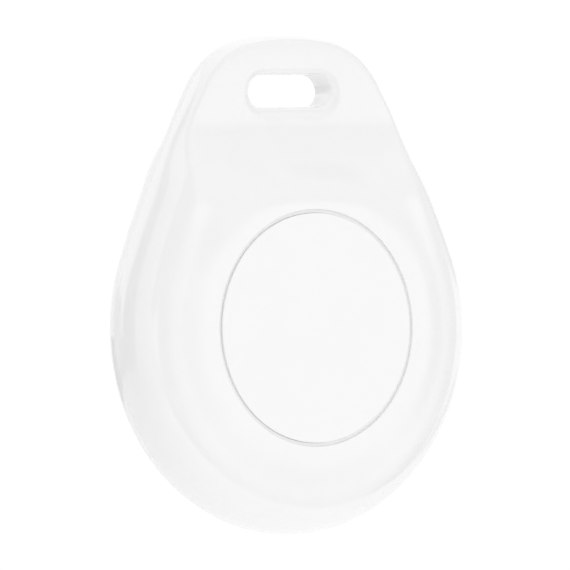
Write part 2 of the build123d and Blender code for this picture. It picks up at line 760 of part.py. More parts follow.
def bent_strip(bends, width, sheet):
    """A strip of sheet metal that follows bends in the XZ plane, centred on the XZ plane."""
    spine = Polyline(*[(x, 0, z) for x, z in bends])
    side = offset(spine, amount=sheet / 2, kind=Kind.INTERSECTION)
    return extrude(make_face(side), amount=width / 2, dir=(0, 1, 0), both=True)


def make_positive_contact():
    """Soldered foot, upright, and a bowed tongue that presses on the side of the can."""
    strip = bent_strip(POSITIVE_BENDS, POSITIVE_WIDTH, POSITIVE_SHEET)
    return Rot(0, 0, CONTACT_DIRECTION) * strip


def make_negative_contact():
    """Soldered foot and a low tongue that presses on the middle of the cap."""
    return bent_strip(NEGATIVE_BENDS, NEGATIVE_WIDTH, NEGATIVE_SHEET)


def make_holder_screws():
    """Three screws with a round head and a cross recess."""
    head_back = EAR_BACK - SCREW_HEAD_HEIGHT
    screw = disc(SCREW_HEAD_RADIUS, head_back, EAR_BACK)
    screw = fillet(screw.edges().group_by(Axis.Z)[0], SCREW_HEAD_ROUND)
    screw += disc(SCREW_RADIUS, EAR_BACK, SCREW_TIP)
    for turn in (0, 90):
        recess = slab(CROSS_LENGTH, CROSS_WIDTH, head_back, head_back + CROSS_DEPTH)
        screw -= Rot(0, 0, turn) * recess
    return Compound(at_screws(screw))


# ---------------------------------------------------------------- battery cover


def make_battery_cover():
    """A disc with a sealing skirt, a slot for a coin's edge and three lugs."""
    cover = disc(COVER_RADIUS, -BACK_DEPTH, COVER_FRONT)
    cover = chamfer(cover.edges().group_by(Axis.Z)[0], COVER_CHAMFER)
    skirt_back = COVER_FRONT - COVER_SKIRT_ROOT
    cover += ring(COVER_SKIRT_OUTER, COVER_SKIRT_INNER, skirt_back, COVER_SKIRT_FRONT)
    coin_slot = extrude(SlotOverall(COIN_SLOT_LENGTH, COIN_SLOT_WIDTH), amount=COIN_SLOT_DEPTH)
    cover -= Pos(0, 0, -BACK_DEPTH) * coin_slot
    lug = helical_band(
        COVER_RADIUS - LUG_ROOT, LUG_REACH, LUG_HEIGHT, -LUG_ANGLE / 2, LUG_ANGLE / 2, LUG_MIDDLE
    )
    return cover + round_the_axis(lug)


def make_cover_seal():
    return Pos(0, 0, COVER_SEAL_MIDDLE) * Torus(COVER_SEAL_RADIUS, COVER_SEAL_CORD)


# ---------------------------------------------------------------- files

PIECES = {
    "front_shell": make_front_shell(),
    "rear_shell": make_rear_shell(),
    "case_seal": make_case_seal(),
    "button_cap": make_button_cap(),
    "button_seal": make_button_seal(),
    "switch_base": make_switch_base(),
    "switch_frame": make_switch_frame(),
    "switch_dome": make_switch_dome(),
    "switch_plunger": make_switch_plunger(),
    "pcb": make_pcb(),
    "bluetooth_chip": make_bluetooth_chip(),
    "main_crystal": make_crystal(MAIN_CRYSTAL, MAIN_CRYSTAL_PLACE),
    "clock_crystal": make_crystal(CLOCK_CRYSTAL, CLOCK_CRYSTAL_PLACE),
    "chip_antenna": make_antenna(),
    "capacitors": make_capacitors(),
    "resistors": make_resistors(),
    "power_inductor": make_inductor(),
    "buzzer_case": make_buzzer_case(),
    "buzzer_diaphragm": make_buzzer_diaphragm(),
    "buzzer_coil": make_buzzer_coil(),
    "cell_can": make_cell_can(),
    "cell_cap": make_cell_cap(),
    "cell_gasket": make_cell_gasket(),
    "cell_anode": make_cell_anode(),
    "cell_separator": make_cell_separator(),
    "cell_cathode": make_cell_cathode(),
    "battery_holder": make_battery_holder(),
    "positive_contact": make_positive_contact(),
    "negative_contact": make_negative_contact(),
    "holder_screws": make_holder_screws(),
    "battery_cover": make_battery_cover(),
    "cover_seal": make_cover_seal(),
}


def stand_up(shape):
    """From lying flat to upright, with the front towards -Y and the slot's middle at the origin."""
    return Pos(0, 0, -SLOT_HEIGHT) * Rot(90, 0, 0) * shape


os.makedirs("parts", exist_ok=True)
for name, shape in PIECES.items():
    export_step(stand_up(shape), f"parts/{name}.step")
print("height", round(TOP_HEIGHT + BOTTOM_RADIUS, 2), "thickness", FRONT_DEPTH + BACK_DEPTH)
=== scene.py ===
import json
import math

import bmesh
import bpy
from mathutils import Matrix, Vector


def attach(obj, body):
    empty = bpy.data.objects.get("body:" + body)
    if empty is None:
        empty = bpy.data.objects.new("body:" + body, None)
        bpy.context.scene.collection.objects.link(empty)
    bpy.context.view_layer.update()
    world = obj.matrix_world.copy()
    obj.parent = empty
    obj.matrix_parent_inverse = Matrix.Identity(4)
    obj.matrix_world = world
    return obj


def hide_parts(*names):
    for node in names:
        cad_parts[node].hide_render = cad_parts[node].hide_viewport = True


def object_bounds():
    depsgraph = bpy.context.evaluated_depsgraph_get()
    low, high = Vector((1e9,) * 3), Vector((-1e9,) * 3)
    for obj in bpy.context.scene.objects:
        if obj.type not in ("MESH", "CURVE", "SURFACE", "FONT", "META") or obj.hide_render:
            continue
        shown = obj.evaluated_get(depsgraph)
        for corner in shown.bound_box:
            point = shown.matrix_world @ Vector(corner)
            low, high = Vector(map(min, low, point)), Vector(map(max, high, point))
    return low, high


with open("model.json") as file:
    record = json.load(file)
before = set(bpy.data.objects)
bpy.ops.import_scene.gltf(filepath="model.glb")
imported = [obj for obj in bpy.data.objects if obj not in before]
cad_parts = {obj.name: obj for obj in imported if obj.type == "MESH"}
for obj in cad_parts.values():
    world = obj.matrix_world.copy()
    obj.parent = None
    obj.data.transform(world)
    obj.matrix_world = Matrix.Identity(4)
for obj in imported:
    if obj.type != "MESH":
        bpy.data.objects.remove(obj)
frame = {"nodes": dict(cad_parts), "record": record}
CAD_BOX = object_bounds()
NODES = frame["nodes"]

# Lengths below are millimetres in the flat layout: across, towards the slot, towards the front,
# counted from the middle of the button on the plane where the two shells meet.
MM = 0.001
SLOT_HEIGHT = 22.0
BUTTON_CENTRE = (0.0, 0.0, -SLOT_HEIGHT * MM)

# Outline: tangent arcs on the right-hand side
BOTTOM_RADIUS = 19.2
FLANK_RADIUS = 104.0
SHOULDER_RADIUS = 7.8
TOP_RADIUS = 27.0
FLANK_START = 21.0
SHOULDER_START = 31.0

# Outer surface
TAB_FACE = 1.68
WALL = 1.3
CROWN_DROP = 0.6
CROWN_RADIUS = 17.0
SLOPE_END = 19.4
BODY_EDGE = 4.15
TAB_EDGE = 1.1
EDGE_START = 12.0
EDGE_END = 21.4
EDGE_POWER = 2.4

# Cavity
CAVITY_RADIUS = 16.9
CAVITY_CORNER = 2.4
RAMP_START = 12.0
RAMP_END = 16.4
RAMP_LOW = 0.9

# How finely the moulded pieces are drawn
ROUND_STEPS = 360
COVER_STEPS = 354  # so that no side of a lug falls on one of the cover's own lines
DRUM_STEPS = 56
FACE_STEPS = 26
EDGE_STEPS = 18
CEILING_STEPS = 10
ROUND_EDGE_STEPS = 6
CORNER_STEPS = 6
PILL_STEPS = 240
SEAM = 0.04
ANGLE_SLACK = 1e-6  # degrees by which a direction may pass the end of its arc
MERGE_DISTANCE = 1e-8


# ---------------------------------------------------------------- shape of the case


def blend(value):
    """Smooth step from 0 to 1 with no bend at either end."""
    share = min(max(value, 0.0), 1.0)
    return share**3 * (share * (6 * share - 15) + 10)


def heading(degrees_round):
    angle = math.radians(degrees_round)
    return Vector((math.cos(angle), math.sin(angle)))


def direction_of(point):
    return math.degrees(math.atan2(point.y, point.x))


def outline_arcs():
    """The right-hand outline as (centre, radius, last normal), bottom to top."""
    bottom = Vector((0, 0))
    flank = bottom - heading(FLANK_START) * (FLANK_RADIUS - BOTTOM_RADIUS)
    shoulder = flank + heading(SHOULDER_START) * (FLANK_RADIUS - SHOULDER_RADIUS)
    top = Vector((0, shoulder.y - math.sqrt((TOP_RADIUS - SHOULDER_RADIUS) ** 2 - shoulder.x**2)))
    return [
        (bottom, BOTTOM_RADIUS, FLANK_START),
        (flank, FLANK_RADIUS, SHOULDER_START),
        (shoulder, SHOULDER_RADIUS, direction_of(shoulder - top)),
        (top, TOP_RADIUS, 90.0),
    ]


OUTLINE = outline_arcs()


def outline_radius(degrees_round, inset=0.0):
    """Distance from the button's middle to the outline, moved inwards by inset."""
    right_hand = (degrees_round + 180) % 360 - 180
    if right_hand > 90:
        right_hand = 180 - right_hand
    elif right_hand < -90:
        right_hand = -180 - right_hand
    ray = heading(right_hand)
    for centre, radius, last_normal in OUTLINE:
        reach = radius - inset
        if right_hand <= direction_of(centre + heading(last_normal) * reach) + ANGLE_SLACK:
            across = ray.x * centre.y - ray.y * centre.x
            return ray.dot(centre) + math.sqrt(reach**2 - across**2)
    raise ValueError("no arc of the outline lies in this direction")


class Side:
    """One face of the tag: how deep it is, how far its flat reaches, and where it slopes."""

    def __init__(self, depth, flat_radius, slope_start):
        self.depth = depth
        self.flat_radius = flat_radius
        self.slope_start = slope_start

    def height(self, distance, rise):
        """Depth before the edge is rounded: flat, then crowned, then down to the tab."""
        crown = CROWN_DROP * blend((distance - self.flat_radius) / (CROWN_RADIUS - self.flat_radius))
        body_share = blend((SLOPE_END - distance * rise) / (SLOPE_END - self.slope_start))
        return TAB_FACE + (self.depth - crown - TAB_FACE) * body_share

    def ceiling(self, distance, rise):
        """Depth of the room inside: level, then a sloping corner, and a ramp under the tab."""
        level = self.depth - WALL
        corner_share = (CAVITY_RADIUS - distance) / CAVITY_CORNER
        corner = level - CAVITY_CORNER / 2 * (1 - corner_share)
        ramp_share = (distance * rise - RAMP_START) / (RAMP_END - RAMP_START)
        ramp = level - (level - RAMP_LOW) * ramp_share
        return min(level, corner, ramp)


FRONT = Side(depth=4.5, flat_radius=11.2, slope_start=11.1)
BACK = Side(depth=4.3, flat_radius=13.6, slope_start=13.9)


def edge_width(height):
    """Width of the rounded edge at one height of the outline."""
    body_share = blend((EDGE_END - height) / (EDGE_END - EDGE_START))
    return TAB_EDGE + (BODY_EDGE - TAB_EDGE) * body_share


def skin_points(degrees_round, side):
    """Points down the outer skin, from the flat to the seam, as (distance, depth)."""
    reach = outline_radius(degrees_round)
    rise = math.sin(math.radians(degrees_round))
    width = edge_width(reach * rise)
    shoulder = reach - width
    points = []
    for k in range(FACE_STEPS):
        distance = side.flat_radius + (shoulder - side.flat_radius) * k / FACE_STEPS
        points.append((distance, side.height(distance, rise)))
    for k in range(EDGE_STEPS):
        turn = math.pi / 2 * k / EDGE_STEPS
        distance = shoulder + width * math.sin(turn) ** (2 / EDGE_POWER)
        points.append((distance, side.height(distance, rise) * math.cos(turn)))
    points.append((reach, SEAM))
    points.append((reach - SEAM, 0.0))
    return points


def room_points(degrees_round, side, inner_radius):
    """Points of the room inside, from the seam plane up its wall and in along its ceiling."""
    rise = math.sin(math.radians(degrees_round))
    edge = min(CAVITY_RADIUS, RAMP_END / rise) if rise > 0 else CAVITY_RADIUS
    points = [(edge, 0.0)]
    for k in range(CEILING_STEPS + 1):
        distance = edge + (inner_radius - edge) * k / CEILING_STEPS
        points.append((distance, side.ceiling(distance, rise)))
    return points


# ---------------------------------------------------------------- mesh helpers


def upright(across, along, depth):
    """A point of the flat layout, in the frame the CAD uses, in metres."""
    return Vector((across * MM, -depth * MM, (along - SLOT_HEIGHT) * MM))


def around(distance, degrees_round, depth):
    angle = math.radians(degrees_round)
    return upright(distance * math.cos(angle), distance * math.sin(angle), depth)


def make_object(name, points, faces):
    mesh = bpy.data.meshes.new(name)
    mesh.from_pydata([tuple(p) for p in points], [], faces)
    mesh.validate()
    thing = bpy.data.objects.new(name, mesh)
    bpy.context.scene.collection.objects.link(thing)
    face_outwards(thing)
    return thing


def face_outwards(thing):
    """Turns a closed mesh the right way out."""
    grid = bmesh.new()
    grid.from_mesh(thing.data)
    bmesh.ops.remove_doubles(grid, verts=grid.verts, dist=MERGE_DISTANCE)
    bmesh.ops.recalc_face_normals(grid, faces=grid.faces)
    if grid.calc_volume(signed=True) < 0:
        bmesh.ops.reverse_faces(grid, faces=grid.faces)
    grid.to_mesh(thing.data)
    grid.free()


def loop_grid(name, loops, close_ends=False):
    """A skin through equal closed loops. It joins its last loop to its first, or caps both."""
    size = len(loops[0])
    points = [p for loop in loops for p in loop]
    count = len(loops)
    spans = count - 1 if close_ends else count
    faces = []
    for k in range(spans):
        here = k * size
        after = (k + 1) % count * size
        for i in range(size):
            j = (i + 1) % size
            faces.append((here + i, here + j, after + j, after + i))
    if close_ends:
        faces.append(tuple(range(size)))
        faces.append(tuple(range((count - 1) * size, count * size)))
    return make_object(name, points, faces)


def polar_grid(name, section):
    """A closed piece round the button's axis. section(direction) gives (distance, depth) points."""
    loops = []
    for k in range(ROUND_STEPS):
        direction = 360 * k / ROUND_STEPS
        loops.append([around(d, direction, h) for d, h in section(direction)])
    return loop_grid(name, loops)


def lathe(name, profile, steps=ROUND_STEPS, centre=(0.0, 0.0)):
    """A solid of revolution from a profile of (radius, depth) that starts and ends on the axis."""
    shift = Vector((centre[0] * MM, 0, centre[1] * MM))
    turn = 360 / steps
    loops = []
    for radius, depth in profile[1:-1]:
        loops.append([around(radius, turn * k, depth) + shift for k in range(steps)])
    return loop_grid(name, loops, close_ends=True)


def rounded(corners, radius):
    """The polyline with each inner corner rounded. A corner's third value is a radius of its own."""
    out = [Vector(corners[0][:2])]
    for before, here, after in zip(corners, corners[1:], corners[2:]):
        point = Vector(here[:2])
        size = here[2] if len(here) > 2 else radius
        if size <= 0:
            out.append(point)
            continue
        to_before = (Vector(before[:2]) - point).normalized()
        to_after = (Vector(after[:2]) - point).normalized()
        half = math.acos(to_before.dot(to_after)) / 2
        centre = point + (to_before + to_after).normalized() * (size / math.sin(half))
        start = point + to_before * (size / math.tan(half)) - centre
        end = point + to_after * (size / math.tan(half)) - centre
        turn = start.angle_signed(end)
        for k in range(CORNER_STEPS + 1):
            out.append(centre + Matrix.Rotation(-turn * k / CORNER_STEPS, 2) @ start)
    out.append(Vector(corners[-1][:2]))
    return [tuple(p) for p in out]


def pill_place(share, length, width):
    """Centre of curvature and outward direction at a share of the way round a pill."""
    straight = length - width
    arc = math.pi * width / 2
    total = 2 * straight + 2 * arc
    travelled = share * total
    if travelled < straight:
        return Vector((straight / 2 - travelled, 0)), 90.0
    travelled -= straight
    if travelled < arc:
        return Vector((-straight / 2, 0)), 90 + 180 * travelled / arc
    travelled -= arc
    if travelled < straight:
        return Vector((-straight / 2 + travelled, 0)), 270.0
    travelled -= straight
    return Vector((straight / 2, 0)), 270 + 180 * travelled / arc


def pill_tool(name, length, width, profile, centre=(0.0, SLOT_HEIGHT)):
    """A closed pill-shaped tool. profile(direction) gives (margin, depth) points, back to front."""
    rings = None
    for k in range(PILL_STEPS):
        middle, direction = pill_place((k + 0.5) / PILL_STEPS, length, width)
        ring_points = profile(direction)
        if rings is None:
            rings = [[] for _ in ring_points]
        for ring, (margin, depth) in zip(rings, ring_points):
            spot = middle + heading(direction) * (width / 2 + margin)
            ring.append(upright(spot.x + centre[0], spot.y + centre[1], depth))
    return loop_grid(name, rings, close_ends=True)


def straight_pill(name, margin, low, high):
    """A straight-sided tool round the keyring slot, margin wider than the slot all round."""
    return pill_tool(name, SLOT_LENGTH, SLOT_WIDTH, lambda _: [(margin, low), (margin, high)])


def drum(name, radius, low, high, centre):
    profile = [(0, low), (radius, low), (radius, high), (0, high)]
    return lathe(name, profile, DRUM_STEPS, centre)


def helical_band(name, inner, outer, height, first, last, start_direction):
    """A band that climbs with the cover's lead, at the lugs' depth in start_direction."""
    steps = round(last - first)  # about one for each degree
    loops = []
    for k in range(steps + 1):
        turn = first + (last - first) * k / steps
        depth = LUG_MIDDLE + LUG_LEAD * turn / 360
        corners = [
            (inner, depth - height / 2),
            (outer, depth - height / 2),
            (outer, depth + height / 2),
            (inner, depth + height / 2),
        ]
        loops.append([around(d, start_direction + turn, h) for d, h in corners])
    return loop_grid(name, loops, close_ends=True)


def carve(target, tool, operation):
    """Joins or cuts with a closed tool mesh, then removes the tool."""
    change = target.modifiers.new("carve", "BOOLEAN")
    change.operation = operation
    change.solver = "EXACT"
    change.object = tool
    bpy.context.view_layer.update()
    graph = bpy.context.evaluated_depsgraph_get()
    result = bpy.data.meshes.new_from_object(target.evaluated_get(graph))
    target.modifiers.clear()
    target.data = result
    bpy.data.objects.remove(tool)


# Edges bent by more than this many degrees stay sharp
PIECE_SHARP_ANGLE = 17.0
NODE_SHARP_ANGLE = 28.0
FLATS_WEIGHT = 100


def smooth(thing, angle):
    """Smooth shading with sharp edges kept, and flats that stay flat."""
    thing.data.polygons.foreach_set("use_smooth", [True] * len(thing.data.polygons))
    thing.data.set_sharp_from_angle(angle=math.radians(angle))
    weighted = thing.modifiers.new("flats", "WEIGHTED_NORMAL")
    weighted.keep_sharp = True
    weighted.weight = FLATS_WEIGHT


def add_piece(thing, body, material, replaced=()):
    thing.data.materials.clear()
    thing.data.materials.append(material)
    smooth(thing, PIECE_SHARP_ANGLE)
    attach(thing, body)
    if replaced:
        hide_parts(*replaced)


# ---------------------------------------------------------------- materials


WAVE_RATE = 20.0  # a band texture of scale 1 turns this many radians in one metre
TRACK_PITCH = 0.8


class Paint:
    """A principled material with short calls for the nodes that its detail needs."""

    def __init__(self, name, colour, roughness, **sockets):
        self.material = bpy.data.materials.new(name)
        self.material.use_nodes = True
        self.tree = self.material.node_tree
        self.shader = self.tree.nodes["Principled BSDF"]
        self.shader.inputs["Base Color"].default_value = (*colour, 1)
        self.shader.inputs["Roughness"].default_value = roughness
        for socket, value in sockets.items():
            self.shader.inputs[socket.replace("_", " ")].default_value = value
        self.place = self.tree.nodes.new("ShaderNodeTexCoord").outputs["Object"]

    def link(self, output, socket):
        self.tree.links.new(output, socket)

    def noise(self, scale, detail=3.0, stretch=None):
        """Noise with about scale bumps per millimetre."""
        node = self.tree.nodes.new("ShaderNodeTexNoise")
        node.inputs["Scale"].default_value = scale / MM
        node.inputs["Detail"].default_value = detail
        self.link(self.stretched(stretch), node.inputs["Vector"])
        return node.outputs["Fac"]

    def stretched(self, stretch):
        if stretch is None:
            return self.place
        node = self.tree.nodes.new("ShaderNodeMapping")
        node.inputs["Scale"].default_value = stretch
        self.link(self.place, node.inputs["Vector"])
        return node.outputs["Vector"]

    def stripes(self, direction, pitch_mm):
        """Straight even bands across X or Z, from 0 to 1 and back once in each pitch."""
        node = self.tree.nodes.new("ShaderNodeTexWave")
        node.bands_direction = direction
        node.inputs["Scale"].default_value = 2 * math.pi / WAVE_RATE / (pitch_mm * MM)
        self.link(self.place, node.inputs["Vector"])
        return node.outputs["Fac"]

    def choose(self, share, first, second):
        """One value where share is 0 and the other where it is 1."""
        node = self.tree.nodes.new("ShaderNodeMix")
        self.link(share, node.inputs["Factor"])
        self.link(first, node.inputs["A"])
        self.link(second, node.inputs["B"])
        return node.outputs["Result"]

    def between(self, value, low, high, from_low=0.3, from_high=0.7):
        """Maps a value to a range."""
        node = self.tree.nodes.new("ShaderNodeMapRange")
        node.inputs["From Min"].default_value = from_low
        node.inputs["From Max"].default_value = from_high
        node.inputs["To Min"].default_value = low
        node.inputs["To Max"].default_value = high
        self.link(value, node.inputs["Value"])
        return node.outputs["Result"]

    def mix(self, share, first, second):
        node = self.tree.nodes.new("ShaderNodeMix")
        node.data_type = "RGBA"
        node.inputs["A"].default_value = (*first, 1)
        node.inputs["B"].default_value = (*second, 1)
        self.link(share, node.inputs["Factor"])
        return node.outputs["Result"]

    def vary_colour(self, share, first, second):
        self.link(self.mix(share, first, second), self.shader.inputs["Base Color"])
        return self

    def vary_roughness(self, share, low, high):
        self.link(self.between(share, low, high), self.shader.inputs["Roughness"])
        return self

    def bump(self, height, depth_mm, strength=0.5):
        node = self.tree.nodes.new("ShaderNodeBump")
        node.inputs["Strength"].default_value = strength
        node.inputs["Distance"].default_value = depth_mm * MM
        self.link(height, node.inputs["Height"])
        self.link(node.outputs["Normal"], self.shader.inputs["Normal"])
        return self


def shaded(colour, share):
    """The colour made darker, down to a share of itself."""
    return tuple(c * share for c in colour)


def white_plastic(name, colour, roughness):
    """Glossy moulded plastic: a faint ripple in the gloss and a trace of uneven colour."""
    paint = Paint(name, colour, roughness, IOR=1.62)
    mottled = paint.between(paint.noise(0.35), 0, 1)
    paint.vary_colour(mottled, colour, shaded(colour, 0.992))
    paint.vary_roughness(paint.noise(1.6), low=roughness * 0.85, high=roughness * 1.2)
    paint.bump(paint.noise(0.8, detail=2.0), depth_mm=0.002, strength=0.15)
    return paint.material


def silicone():
    """Translucent-looking white silicone with a fine skin."""
    clear = (0.84, 0.85, 0.86)
    cloudy = (0.76, 0.77, 0.79)
    paint = Paint("silicone", (0.82, 0.83, 0.84), roughness=0.42, IOR=1.41)
    paint.vary_colour(paint.between(paint.noise(1.2), 0, 1), clear, cloudy)
    paint.vary_roughness(paint.noise(3.0), low=0.36, high=0.5)
    paint.bump(paint.noise(6.0), depth_mm=0.006, strength=0.4)
    return paint.material


def moulded(name, colour, grain=9.0, roughness=0.5):
    """Matte moulded plastic or epoxy with a fine sparkle-free grain."""
    paint = Paint(name, colour, roughness, IOR=1.5)
    lighter = tuple(min(1.0, c * 1.25 + 0.01) for c in colour)
    paint.vary_colour(paint.between(paint.noise(grain / 3), 0, 1), colour, lighter)
    paint.vary_roughness(paint.noise(grain / 2), low=roughness * 0.85, high=roughness * 1.15)
    paint.bump(paint.noise(grain, detail=4.0), depth_mm=0.01, strength=0.45)
    return paint.material


def metal(name, colour, roughness, stretch=(1, 1, 14), grain=2.0):
    """Rolled or drawn metal: streaks one way and small changes of tone."""
    paint = Paint(name, colour, roughness, Metallic=1.0)
    streaks = paint.noise(grain, detail=5.0, stretch=stretch)
    paint.vary_colour(paint.between(streaks, 0, 1), shaded(colour, 0.86), colour)
    paint.vary_roughness(streaks, low=roughness * 0.75, high=roughness * 1.35)
    paint.bump(streaks, depth_mm=0.004, strength=0.35)
    return paint.material


def circuit_board():
    """Solder mask over copper: lighter straight tracks seen through a green lacquer."""
    mask = (0.008, 0.105, 0.045)
    track = (0.022, 0.2, 0.085)
    paint = Paint("circuit_board", mask, roughness=0.28, IOR=1.5)
    patches = paint.between(paint.noise(0.16, detail=0.0), 0, 1, from_low=0.49, from_high=0.51)
    routing = paint.choose(patches, paint.stripes("X", TRACK_PITCH), paint.stripes("Z", TRACK_PITCH))
    tracks = paint.between(routing, 0, 1, from_low=0.66, from_high=0.74)
    paint.vary_colour(tracks, mask, track)
    paint.vary_roughness(paint.noise(4.0), low=0.22, high=0.36)
    paint.bump(tracks, depth_mm=0.03, strength=0.5)
    return paint.material


def ceramic(name, colour):
    """Fired ceramic or pressed ferrite: a fine dry grain."""
    paint = Paint(name, colour, roughness=0.45)
    paint.vary_colour(paint.between(paint.noise(8.0), 0, 1), shaded(colour, 0.8), colour)
    paint.vary_roughness(paint.noise(10.0), low=0.38, high=0.55)
    paint.bump(paint.noise(14.0), depth_mm=0.008, strength=0.4)
    return paint.material


def felt(name, colour):
    """Non-woven film: short crossed fibres."""
    paint = Paint(name, colour, roughness=0.85)
    fibres = paint.noise(5.0, detail=6.0, stretch=(1, 1, 5))
    paint.vary_colour(paint.between(fibres, 0, 1), shaded(colour, 0.82), colour)
    paint.bump(fibres, depth_mm=0.02, strength=0.6)
    return paint.material


MATERIALS = {
    "white_gloss": white_plastic("white_shell", (0.925, 0.925, 0.925), 0.07),
    "silicone": silicone(),
    "black_plastic": moulded("black_plastic", (0.018, 0.018, 0.02)),
    "grey_plastic": moulded("grey_plastic", (0.36, 0.37, 0.39)),
    "steel": metal("sheet_steel", (0.66, 0.66, 0.67), 0.3),
    "nickel_steel": metal("nickel_steel", (0.74, 0.73, 0.71), 0.24, (1, 1, 9), 1.2),
    "screw_steel": metal("screw_steel", (0.5, 0.5, 0.51), 0.36, (1, 1, 1), 4.0),
    "circuit_board": circuit_board(),
    "chip_epoxy": moulded("chip_epoxy", (0.022, 0.022, 0.024), 14.0, 0.56),
    "white_ceramic": ceramic("white_ceramic", (0.8, 0.8, 0.76)),
    "capacitor_ceramic": ceramic("capacitor_ceramic", (0.42, 0.27, 0.15)),
    "ferrite": ceramic("ferrite", (0.07, 0.07, 0.075)),
    "brass": metal("rolled_brass", (0.8, 0.6, 0.28), 0.26),
    "copper": metal("copper_winding", (0.72, 0.33, 0.16), 0.3, (1, 24, 1)),
    "contact_metal": metal("gold_contact", (0.86, 0.66, 0.32), 0.22),
    "lithium": metal("lithium_foil", (0.55, 0.55, 0.56), 0.5),
    "separator": felt("separator_film", (0.85, 0.85, 0.83)),
    "cathode": moulded("cathode_pellet", (0.03, 0.03, 0.03), 5.0, 0.8),
}

SLOT_OF = {part["node"]: part["material_slot"] for part in frame["record"]["subparts"]}


# ---------------------------------------------------------------- casing pieces

# Slot and collar
SLOT_LENGTH = 9.3
SLOT_WIDTH = 3.0
COLLAR_WALL = 0.9
COLLAR_GAP = 0.05
TOP_LIP = 0.6
BOTTOM_LIP = 1.0
BACK_LIP = 0.5
LIP_STEPS = 12
LIP_TURN = 66.0
LIP_FALL = 0.9
LIP_SPARE = 0.5
COLLAR_ROOT = 0.4
COLLAR_HOLE_BACK = -3.0
COLLAR_HOLE_FRONT = 0.5

# Button and its groove
BUTTON_RADIUS = 10.6
BUTTON_CLEARANCE = 0.02
GROOVE_WIDTH = 0.34
GROOVE_DEPTH = 0.25
LIP_EDGE = 0.07
FLANGE_RADIUS = 11.6
FLANGE_FRONT = 3.15
FLANGE_BACK = 2.65
SKIRT_INNER_RADIUS = 9.9
BUTTON_INSIDE = 3.3
NIB_RADIUS = 1.0
NIB_END = 2.46
BUTTON_ROUND = 0.05

# Groove of the seal between the shells, measured in from the outline
SEAL_OUTER_INSET = 0.9
SEAL_INNER_INSET = 1.7
SEAL_DEPTH = 0.6

# Battery bay and cover
COVER_RADIUS = 12.05
COVER_FRONT = -2.9
COVER_CHAMFER = 0.2
COVER_ROUND = 0.06
COVER_STEP_ROUND = 0.05
COVER_FLOOR_ROUND = 0.15
COVER_SKIRT_OUTER = 11.2
COVER_SKIRT_INNER = 10.5
COVER_SKIRT_FRONT = -1.4
COIN_SLOT_LENGTH = 13.0
COIN_SLOT_WIDTH = 1.8
# Sides of the coin slot from above the face down to its floor, as (margin, depth)
COIN_SLOT_SIDE = [(0.3, -4.6), (0.2, -4.32), (0.06, -4.24), (0.0, -4.1), (0.0, -3.55), (-0.12, -3.5)]
BAY_RADIUS = 12.2
BAY_WALL_RADIUS = 14.0
BAY_FRONT = 1.2
LEDGE_BACK = 1.9
LEDGE_RADIUS = 11.4
LUG_LEAD = 16.0
LUG_REACH = 12.85
LUG_HEIGHT = 0.6
LUG_MIDDLE = -3.45
LUG_ANGLE = 12.0
LUG_CLEARANCE = 0.12
LUG_ROOT = 11.7
GROOVE_REACH = 13.05
GROOVE_RUN = 36.0
GROOVE_STOP = 0.8
LUG_DIRECTIONS = (90.0, 210.0, 330.0)

SCREW_DIRECTIONS = (35.0, 145.0, 270.0)
SCREW_CIRCLE = 14.9
BOSS_RADIUS = 1.5
BOSS_BACK = 1.75
BOSS_ROOT = 0.2
PILOT_RADIUS = 0.78
PILOT_BACK = 1.5
PILOT_FRONT = 3.0


def slot_profile(direction):
    """Sides of the slot at one place: a lip at the back, a straight wall and a lip at the front."""
    downward = -math.sin(math.radians(direction))
    front = (TOP_LIP + BOTTOM_LIP) / 2 + (BOTTOM_LIP - TOP_LIP) / 2 * downward
    back_arc = [(margin, -depth) for margin, depth in lip_arc(BACK_LIP)]
    front_arc = lip_arc(front)
    return back_arc[::-1] + front_arc


def lip_arc(width):
    """The lip's round from the slot's wall to a crisp edge on the face, and on past it."""
    slope = math.radians(LIP_TURN)
    drop = width * LIP_FALL
    across, down = width / (1 - math.cos(slope)), drop / math.sin(slope)
    points = []
    for k in range(LIP_STEPS + 1):
        turn = slope * k / LIP_STEPS
        points.append((across * (1 - math.cos(turn)), TAB_FACE - drop + down * math.sin(turn)))
    last, before = Vector(points[-1]), Vector(points[-2])
    points.append(tuple(last + (last - before).normalized() * LIP_SPARE))
    return points


def mouth_round(radius, depth):
    """The small round where an opening of this radius meets the face."""
    points = []
    for k in range(ROUND_EDGE_STEPS + 1):
        turn = math.pi / 2 * k / ROUND_EDGE_STEPS
        across = radius + LIP_EDGE * (1 - math.cos(turn))
        points.append((across, depth - LIP_EDGE * (1 - math.sin(turn))))
    return points


def front_section(direction):
    """One closed section of the front shell: groove, window edge, outer skin, seam and room."""
    window = BUTTON_RADIUS + GROOVE_WIDTH
    bore = BUTTON_RADIUS + BUTTON_CLEARANCE
    depth = FRONT.depth
    points = [(bore, depth - GROOVE_DEPTH), (window, depth - GROOVE_DEPTH)]
    points += mouth_round(window, depth)
    points += skin_points(direction, FRONT)
    points += room_points(direction, FRONT, bore)
    return points


def make_front_shell():
    shell = polar_grid("front_shell_skin", front_section)
    carve(shell, straight_pill("collar", COLLAR_WALL, -TAB_FACE, COLLAR_ROOT), "UNION")
    for direction in SCREW_DIRECTIONS:
        spot = tuple(heading(direction) * SCREW_CIRCLE)
        boss_front = FRONT.depth - WALL + BOSS_ROOT
        carve(shell, drum("boss", BOSS_RADIUS, BOSS_BACK, boss_front, spot), "UNION")
        carve(shell, drum("pilot", PILOT_RADIUS, PILOT_BACK, PILOT_FRONT, spot), "DIFFERENCE")
    carve(shell, pill_tool("slot", SLOT_LENGTH, SLOT_WIDTH, slot_profile), "DIFFERENCE")
    return shell


